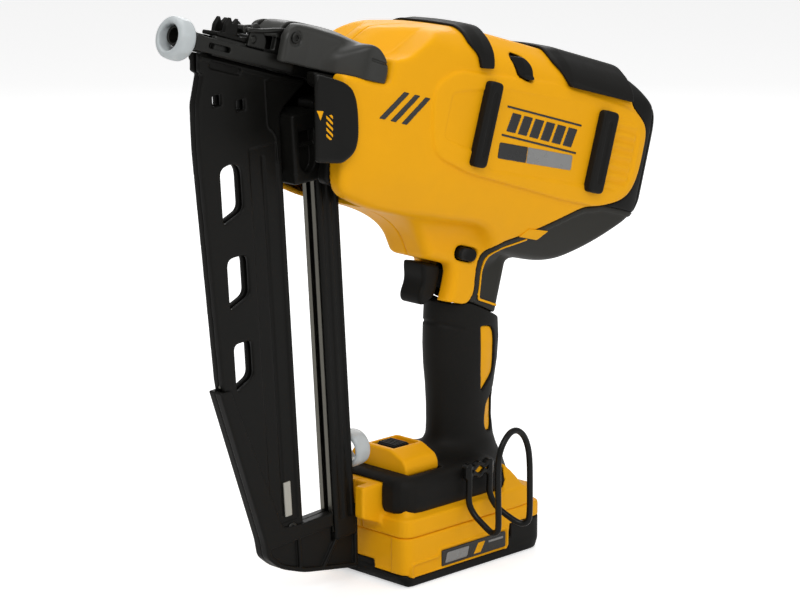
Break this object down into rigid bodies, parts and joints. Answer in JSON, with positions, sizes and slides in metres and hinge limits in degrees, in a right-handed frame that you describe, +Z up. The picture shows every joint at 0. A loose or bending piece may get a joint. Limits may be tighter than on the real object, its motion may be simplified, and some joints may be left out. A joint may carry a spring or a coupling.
{
  "type": "cordless angled finish nailer",
  "caption": "Battery-powered angled finish nailer: flywheel drive in a clamshell body, pistol grip, slide-in battery and a slanted magazine with pusher.",
  "frame": {"origin": "centre of the battery's flat bottom face, which the tool stands on", "axes": "+Z up, -X towards the nose, -Y the tool's left side; the drive axis falls 16.3 degrees towards the rear"},
  "size_m": [0.3639, 0.1143, 0.3515],
  "materials": {
    "yellow": "moulded satin yellow",
    "black_plastic": "moulded fine grain",
    "rubber": "soft overmould",
    "dark_metal": "phosphated",
    "steel": "ground",
    "alloy": "as cast",
    "pale_plastic": "translucent elastomer",
    "copper": "enamelled winding"
  },
  "bodies": {
    "tool": {"magazine_side_left": "black_plastic", "magazine_side_right": "black_plastic", "nail_rail": "steel", "rear_beam": "black_plastic", "pusher_rail": "steel", "magazine_end_cap": "black_plastic", "spare_no_mar_pad": "pale_plastic", "rear_cap": "black_plastic", "motor_cover": "black_plastic", "top_strap_front": "rubber", "top_strap_rear": "rubber", "side_bar_front_left": "rubber", "side_bar_front_right": "rubber", "side_bar_rear_left": "rubber", "side_bar_rear_right": "rubber", "drive_frame": "alloy", "bearing_left": "steel", "bearing_right": "steel", "motor_stator": "copper", "return_rod_left": "steel", "return_spring_left": "steel", "return_rod_right": "steel", "return_spring_right": "steel", "driver_bumper": "rubber", "solenoid_body": "dark_metal", "trigger_pin": "steel", "trigger_switch": "black_plastic", "nosepiece": "dark_metal", "nose_bracket": "black_plastic", "trip_spring": "steel", "housing_left": "yellow", "housing_right": "yellow", "grip_overmould": "rubber", "controller_module": "black_plastic", "terminal_block": "dark_metal", "selector_panel": "yellow", "belt_hook": "dark_metal"},
    "flywheel": {"flywheel_rotor": "steel", "motor_shaft": "steel"},
    "driver": {"driver_carriage": "dark_metal", "driver_blade": "steel"},
    "pinch_arm": {"pinch_arm": "alloy"},
    "pinch_roller": {"pinch_roller": "steel"},
    "solenoid_plunger": {"solenoid_plunger": "steel"},
    "trigger": {"trigger": "black_plastic"},
    "lock_off_button": {"lock_off_button": "black_plastic"},
    "stall_lever": {"stall_lever": "black_plastic"},
    "mode_switch": {"mode_switch": "black_plastic"},
    "battery": {"battery_case_top": "yellow", "battery_case_bottom": "black_plastic", "cell_pack": "steel"},
    "battery_latch": {"battery_latch": "black_plastic"},
    "latch_lever": {"latch_lever": "black_plastic"},
    "latch_bail": {"latch_bail": "steel"},
    "nose_door": {"nose_door": "dark_metal"},
    "contact_trip": {"contact_trip": "dark_metal", "no_mar_pad": "pale_plastic"},
    "depth_wheel": {"depth_wheel": "black_plastic"},
    "pusher": {"pusher": "black_plastic"}
  },
  "joints": [
    {"name": "flywheel_spin", "type": "hinge", "parent": "tool", "child": "flywheel", "pos_m": [0.07472, 0, 0.22341], "axis": [0, 1, 0], "continuous": true},
    {"name": "driver_stroke", "type": "slide", "parent": "tool", "child": "driver", "axis": [-0.9598, 0, 0.2807], "range_m": [0, 0.058], "deforming": ["return_spring_left", "return_spring_right"]},
    {"name": "pinch_arm_swing", "type": "hinge", "parent": "tool", "child": "pinch_arm", "pos_m": [0.12607, 0, 0.26361], "axis": [0, 1, 0], "range_deg": [-1.2, 0.4]},
    {"name": "pinch_roller_spin", "type": "hinge", "parent": "pinch_arm", "child": "pinch_roller", "pos_m": [0.06664, 0, 0.2813], "axis": [0, 1, 0], "continuous": true},
    {"name": "solenoid_stroke", "type": "slide", "parent": "tool", "child": "solenoid_plunger", "axis": [-0.2807, 0, -0.9598], "range_m": [-0.001, 0.0003]},
    {"name": "trigger_pull", "type": "hinge", "parent": "tool", "child": "trigger", "pos_m": [-0.00233, 0, 0.18082], "axis": [0, 1, 0], "range_deg": [-5, 0]},
    {"name": "lock_off_push", "type": "slide", "parent": "tool", "child": "lock_off_button", "axis": [0, 1, 0], "range_m": [-0.003, 0.003]},
    {"name": "stall_lever_swing", "type": "hinge", "parent": "tool", "child": "stall_lever", "pos_m": [0.03905, -0.034, 0.29739], "axis": [0, 1, 0], "range_deg": [0, 12]},
    {"name": "mode_switch_slide", "type": "slide", "parent": "tool", "child": "mode_switch", "axis": [1, 0, 0], "range_m": [0, 0.004]},
    {"name": "battery_slide", "type": "slide", "parent": "tool", "child": "battery", "axis": [1, 0, 0], "range_m": [0, 0.11]},
    {"name": "battery_latch_press", "type": "slide", "parent": "battery", "child": "battery_latch", "axis": [0, 0, -1], "range_m": [0, 0.002]},
    {"name": "latch_lever_swing", "type": "hinge", "parent": "tool", "child": "latch_lever", "pos_m": [-0.12213, 0, 0.33411], "axis": [0, -1, 0], "range_deg": [0, 40]},
    {"name": "latch_bail_swing", "type": "hinge", "parent": "latch_lever", "child": "latch_bail", "pos_m": [-0.11412, 0, 0.33656], "axis": [0, -1, 0], "range_deg": [-80, 0]},
    {"name": "nose_door_swing", "type": "hinge", "parent": "tool", "child": "nose_door", "pos_m": [-0.14639, 0, 0.33485], "axis": [0, 1, 0], "range_deg": [0, 40]},
    {"name": "contact_trip_slide", "type": "slide", "parent": "tool", "child": "contact_trip", "axis": [0.9598, 0, -0.2807], "range_m": [0, 0.008], "deforming": ["trip_spring"]},
    {"name": "depth_wheel_turn", "type": "hinge", "parent": "contact_trip", "child": "depth_wheel", "pos_m": [-0.12346, 0.018, 0.31887], "axis": [0.9598, 0, -0.2807], "range_deg": [-150, 150]},
    {"name": "pusher_slide", "type": "slide", "parent": "tool", "child": "pusher", "axis": [0.0645, 0, -0.9979], "range_m": [0, 0.165]}
  ],
  "couplings": [
    {"joint": "latch_bail_swing", "follows": "latch_lever_swing", "ratio": -1.9},
    {"joint": "nose_door_swing", "follows": "latch_lever_swing", "ratio": 1},
    {"joint": "solenoid_stroke", "follows": "pinch_arm_swing", "m_per_rad": 0.03}
  ]
}
